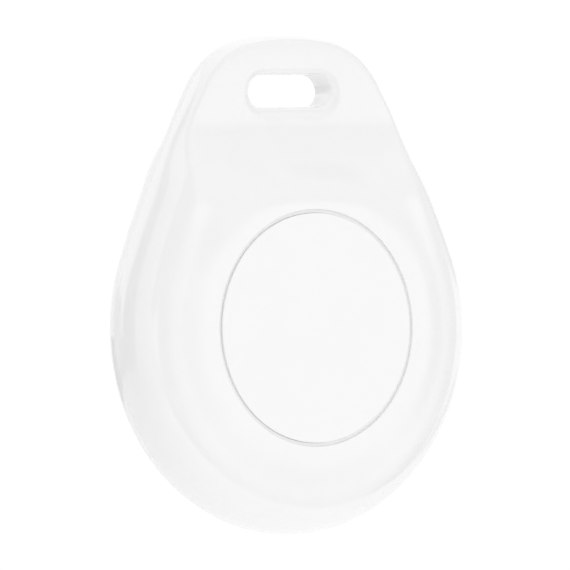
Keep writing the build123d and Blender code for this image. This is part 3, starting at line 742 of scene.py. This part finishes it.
def back_section(direction):
    """One closed section of the rear shell: bay, outer skin, seam, seal groove and room."""
    seal_outer = outline_radius(direction, SEAL_OUTER_INSET)
    seal_inner = outline_radius(direction, SEAL_INNER_INSET)
    points = [(LEDGE_RADIUS, BAY_FRONT), (LEDGE_RADIUS, LEDGE_BACK), (BAY_RADIUS, LEDGE_BACK)]
    points += mouth_round(BAY_RADIUS, BACK.depth)
    points += skin_points(direction, BACK)
    points += [(seal_outer, 0.0), (seal_outer, SEAL_DEPTH), (seal_inner, SEAL_DEPTH), (seal_inner, 0.0)]
    points += room_points(direction, BACK, BAY_WALL_RADIUS)
    points.append((BAY_WALL_RADIUS, BAY_FRONT))
    return [(distance, -depth) for distance, depth in points]


def make_rear_shell():
    shell = polar_grid("rear_shell_skin", back_section)
    margin = COLLAR_WALL + COLLAR_GAP
    hole = straight_pill("collar_hole", margin, COLLAR_HOLE_BACK, COLLAR_HOLE_FRONT)
    carve(shell, hole, "DIFFERENCE")
    for direction in LUG_DIRECTIONS:
        first = -LUG_ANGLE / 2 - GROOVE_RUN
        last = LUG_ANGLE / 2 + GROOVE_STOP
        height = LUG_HEIGHT + 2 * LUG_CLEARANCE
        band = helical_band("groove", LUG_ROOT, GROOVE_REACH, height, first, last, direction)
        carve(shell, band, "DIFFERENCE")
    return shell


def make_button_cap():
    corners = [
        (0, FRONT.depth),
        (BUTTON_RADIUS, FRONT.depth, LIP_EDGE),
        (BUTTON_RADIUS, FLANGE_FRONT, 0),
        (FLANGE_RADIUS, FLANGE_FRONT),
        (FLANGE_RADIUS, FLANGE_BACK),
        (SKIRT_INNER_RADIUS, FLANGE_BACK),
        (SKIRT_INNER_RADIUS, BUTTON_INSIDE),
        (NIB_RADIUS, BUTTON_INSIDE),
        (NIB_RADIUS, NIB_END),
        (0, NIB_END),
    ]
    return lathe("button_cap_disc", rounded(corners, BUTTON_ROUND))


def make_battery_cover():
    corners = [
        (0, -BACK.depth),
        (COVER_RADIUS, -BACK.depth, COVER_CHAMFER),
        (COVER_RADIUS, COVER_FRONT, COVER_STEP_ROUND),
        (COVER_SKIRT_OUTER, COVER_FRONT, 0),
        (COVER_SKIRT_OUTER, COVER_SKIRT_FRONT),
        (COVER_SKIRT_INNER, COVER_SKIRT_FRONT),
        (COVER_SKIRT_INNER, COVER_FRONT, COVER_FLOOR_ROUND),
        (0, COVER_FRONT),
    ]
    cover = lathe("battery_cover_disc", rounded(corners, COVER_ROUND), COVER_STEPS)
    carve(cover, coin_slot_tool(), "DIFFERENCE")
    for direction in LUG_DIRECTIONS:
        half = LUG_ANGLE / 2
        lug = helical_band("lug", LUG_ROOT, LUG_REACH, LUG_HEIGHT, -half, half, direction)
        carve(cover, lug, "UNION")
    return cover


def coin_slot_tool():
    """Cuts a slot for a coin's edge, with a small lip at the surface."""
    length, width = COIN_SLOT_LENGTH, COIN_SLOT_WIDTH
    return pill_tool("coin_slot", length, width, lambda _: COIN_SLOT_SIDE, centre=(0.0, 0.0))


def make_casing():
    gloss = MATERIALS["white_gloss"]
    add_piece(make_front_shell(), "case", gloss, ["front_shell"])
    add_piece(make_rear_shell(), "case", gloss, ["rear_shell"])
    add_piece(make_button_cap(), "button", gloss, ["button_cap"])
    add_piece(make_battery_cover(), "cover", gloss, ["battery_cover"])


def dress_nodes():
    """Gives every CAD node that still shows its own material and shading."""
    for name, thing in NODES.items():
        thing.data.materials.clear()
        thing.data.materials.append(MATERIALS[SLOT_OF[name]])
        if not thing.hide_render:
            smooth(thing, NODE_SHARP_ANGLE)


# ---------------------------------------------------------------- studio

CAMERA_TARGET = Vector((-0.37, 0.0, -18.0)) * MM
CAMERA_AZIMUTH = -35.2
CAMERA_ELEVATION = 0.6
CAMERA_ROLL = -1.7
CAMERA_LENS = 284.0
CAMERA_DISTANCE = 0.418
CAMERA_SENSOR = 36.0
CAMERA_CLIP = (0.01, 20.0)

FLOOR_DROP = 0.12
FLOOR_REACH = 1.1
CARD_DISTANCE = 0.5
WINDOW_AZIMUTH = -35
WINDOW_DISTANCE = 0.2
FLAG_HALF_LENGTH = 0.6
FLAG_GREY = 0.03
WORLD_STRENGTH = 1.035

# How a card's cover changes over its height, as (share of the height, cover)
SOLID = [(0.0, 0.0), (0.2, 1.0), (0.8, 1.0), (1.0, 0.0)]
HORIZON = [(0.0, 0.0), (0.2, 0.8), (0.98, 0.8), (1.0, 0.0)]
BAND = [(0.0, 0.0), (0.35, 1.0), (0.7, 1.0), (1.0, 0.0)]
FAINT = [(0.0, 0.0), (0.35, 0.5), (0.7, 0.5), (1.0, 0.0)]
ROOF = [(0.0, 0.0), (0.05, 0.75), (0.9, 0.75), (1.0, 0.0)]


def make_camera():
    around_z, up = math.radians(CAMERA_AZIMUTH), math.radians(CAMERA_ELEVATION)
    back = Vector((math.sin(around_z) * math.cos(up), -math.cos(around_z) * math.cos(up), math.sin(up)))
    right = Vector((math.cos(around_z), math.sin(around_z), 0))
    above = back.cross(right)
    roll = math.radians(CAMERA_ROLL)
    across = right * math.cos(roll) + above * math.sin(roll)
    along = above * math.cos(roll) - right * math.sin(roll)
    data = bpy.data.cameras.new("camera")
    data.lens = CAMERA_LENS
    data.sensor_width = CAMERA_SENSOR
    data.clip_start, data.clip_end = CAMERA_CLIP
    camera = bpy.data.objects.new("camera", data)
    bpy.context.scene.collection.objects.link(camera)
    turn = Matrix((across, along, back)).transposed().to_4x4()
    camera.matrix_world = Matrix.Translation(CAMERA_TARGET + back * CAMERA_DISTANCE) @ turn
    bpy.context.scene.camera = camera


def soft_box(name, place, size, power):
    data = bpy.data.lights.new(name, "AREA")
    data.shape = "RECTANGLE"
    data.size, data.size_y = size
    data.energy = power
    lamp = bpy.data.objects.new(name, data)
    bpy.context.scene.collection.objects.link(lamp)
    lamp.location = place
    lamp.visible_camera = False
    towards = Vector(BUTTON_CENTRE) - Vector(place)
    lamp.rotation_mode = "QUATERNION"
    lamp.rotation_quaternion = towards.to_track_quat("-Z", "Y")


def make_floor():
    """A pale floor well below the tag, which hangs from its slot."""
    low = CAD_BOX[0].z - FLOOR_DROP
    reach = FLOOR_REACH
    corners = [(-reach, -reach, low), (reach, -reach, low), (reach, reach, low), (-reach, reach, low)]
    mesh = bpy.data.meshes.new("floor")
    mesh.from_pydata(corners, [], [(0, 1, 2, 3)])
    floor = bpy.data.objects.new("floor", mesh)
    bpy.context.scene.collection.objects.link(floor)
    paint = Paint("pale_floor", (0.96, 0.96, 0.96), 0.9)
    paint.vary_colour(paint.between(paint.noise(0.02), 0, 1), (0.96, 0.96, 0.96), (0.94, 0.94, 0.94))
    mesh.materials.append(paint.material)


def facing_tag(azimuth, elevation, distance):
    """Where a card stands so that it faces the tag. Azimuth turns from the front to the left."""
    turn, lift = math.radians(azimuth), math.radians(elevation)
    away = Vector((-math.sin(turn) * math.cos(lift), -math.cos(turn) * math.cos(lift), math.sin(lift)))
    across = Vector((math.cos(turn), -math.sin(turn), 0))
    axes = Matrix((across, away.cross(across), away)).transposed().to_4x4()
    return Matrix.Translation(Vector(BUTTON_CENTRE) + away * distance) @ axes


def card_paint(name, grey, stops):
    """Matte card whose cover changes along its own Y. Stops are (share of its height, cover)."""
    paint = Paint(name, (grey, grey, grey), 0.9)
    paint.vary_colour(paint.between(paint.noise(0.01), 0, 1), (grey,) * 3, (grey * 0.94,) * 3)
    split = paint.tree.nodes.new("ShaderNodeSeparateXYZ")
    paint.link(paint.place, split.inputs["Vector"])
    share = paint.between(split.outputs["Y"], 0, 1, -1, 1)
    ramp = paint.tree.nodes.new("ShaderNodeValToRGB")
    ramp.color_ramp.interpolation = "EASE"
    while len(ramp.color_ramp.elements) < len(stops):
        ramp.color_ramp.elements.new(0.5)
    for element, (position, cover) in zip(ramp.color_ramp.elements, stops):
        element.position = position
        element.color = (cover, cover, cover, 1)
    paint.link(share, ramp.inputs["Fac"])
    paint.link(ramp.outputs["Color"], paint.shader.inputs["Alpha"])
    return paint.material


def make_card(name, place, half_size, grey, stops, only_reflected=True):
    """A soft-edged studio card, out of the picture."""
    mesh = bpy.data.meshes.new(name)
    mesh.from_pydata([(-1, -1, 0), (1, -1, 0), (1, 1, 0), (-1, 1, 0)], [], [(0, 1, 2, 3)])
    mesh.materials.append(card_paint(name, grey, stops))
    card = bpy.data.objects.new(name, mesh)
    bpy.context.scene.collection.objects.link(card)
    card.matrix_world = place @ Matrix.Diagonal((*half_size, 1, 1))
    card.visible_camera = False
    if only_reflected:
        card.visible_diffuse = False
        card.visible_shadow = False


def make_window_frame():
    """Dark flags round the bright window that the front face mirrors."""
    centre = facing_tag(WINDOW_AZIMUTH, 0, WINDOW_DISTANCE)
    # name, turn from straight up, near and far edge from the window's middle, cover
    flags = [
        ("flag_above", 0, 0.02, 0.63, ROOF),
        ("flag_left", 90, 0.05, 0.3, BAND),
        ("flag_below", 180, 0.05, 0.2, FAINT),
        ("flag_right", 270, 0.055, 0.19, BAND),
    ]
    for name, turn, near, far, stops in flags:
        turned = Matrix.Rotation(math.radians(turn), 4, "Z")
        outwards = turned @ Matrix.Translation((0, (near + far) / 2, 0))
        half_size = (FLAG_HALF_LENGTH, (far - near) / 2)
        make_card(name, centre @ outwards, half_size, FLAG_GREY, stops)


def make_cards():
    """Grey cards at the left and behind, which give the rims their tone."""
    left = facing_tag(103, 0, CARD_DISTANCE) @ Matrix.Rotation(math.radians(90), 4, "Z")
    behind = facing_tag(150, -20, CARD_DISTANCE)
    rim = facing_tag(145, 0, CARD_DISTANCE)
    make_card("card_left", left, half_size=(0.55, 0.2), grey=0.25, stops=SOLID, only_reflected=False)
    make_card("card_behind", behind, half_size=(0.3, 0.17), grey=0.1, stops=HORIZON)
    make_card("card_rim", rim, half_size=(0.12, 0.15), grey=0.6, stops=SOLID)
    make_window_frame()


def make_lamps():
    behind = facing_tag(140, 28, CARD_DISTANCE).translation
    soft_box("lamp_behind", behind, size=(0.35, 0.35), power=0.19)
    soft_box("lamp_above", (-0.05, 0.0, 0.25), size=(0.4, 0.4), power=0.04)
    soft_box("lamp_below", (0.0, 0.03, -0.13), size=(0.25, 0.25), power=0.012)


def make_world():
    world = bpy.data.worlds.new("studio")
    world.use_nodes = True
    background = world.node_tree.nodes["Background"]
    background.inputs["Color"].default_value = (1, 1, 1, 1)
    background.inputs["Strength"].default_value = WORLD_STRENGTH
    bpy.context.scene.world = world
    bpy.context.scene.view_settings.view_transform = "Standard"


make_camera()
make_world()
make_floor()
make_cards()
make_lamps()
make_casing()
dress_nodes()
